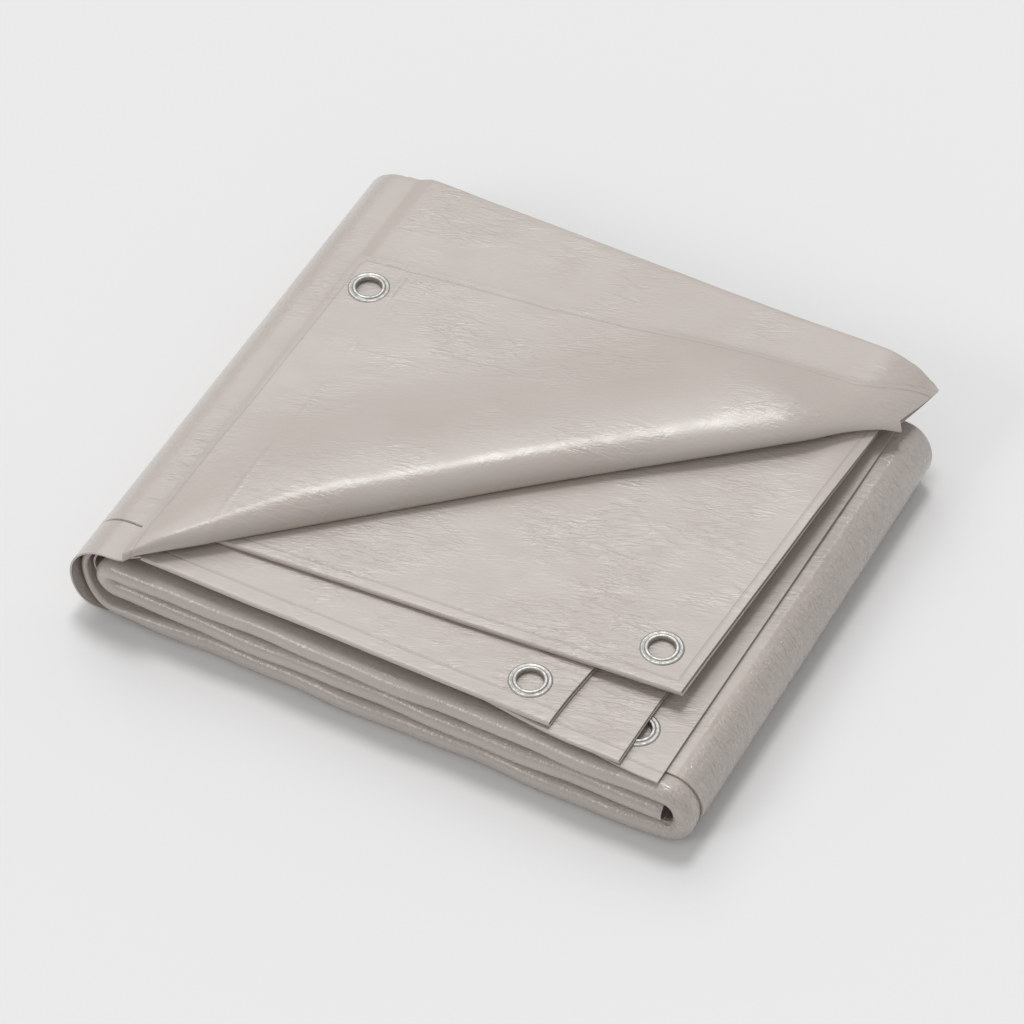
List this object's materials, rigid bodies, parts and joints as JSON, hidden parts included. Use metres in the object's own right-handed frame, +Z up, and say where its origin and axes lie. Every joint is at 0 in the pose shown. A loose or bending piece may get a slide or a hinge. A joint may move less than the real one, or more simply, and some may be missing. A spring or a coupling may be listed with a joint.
{
  "type": "folded tarp",
  "caption": "Coated tarpaulin folded flat into a thick, layered rectangle, rolled at both sides, with one top corner turned back to show metal eyelets at the hemmed corners",
  "frame": {"origin": "centre of the footprint on the surface that the folded tarp lies on", "axes": "X runs left to right along the layered front edge, Y runs to the back, Z is up"},
  "size_m": [0.3756, 0.3358, 0.0774],
  "materials": {
    "coated_cloth": "semi-gloss coated sheet with fine crinkles",
    "eyelet_metal": "bright, slightly satin"
  },
  "bodies": {
    "root": {"tarp_cloth": "coated_cloth", "hem_flap": "coated_cloth", "hem_upper": "coated_cloth", "hem_middle": "coated_cloth", "hem_lower": "coated_cloth", "eyelet_flap": "eyelet_metal", "eyelet_upper": "eyelet_metal", "eyelet_middle": "eyelet_metal", "eyelet_lower": "eyelet_metal", "washer_flap": "eyelet_metal", "washer_upper": "eyelet_metal", "washer_middle": "eyelet_metal", "washer_lower": "eyelet_metal"}
  },
  "joints": []
}
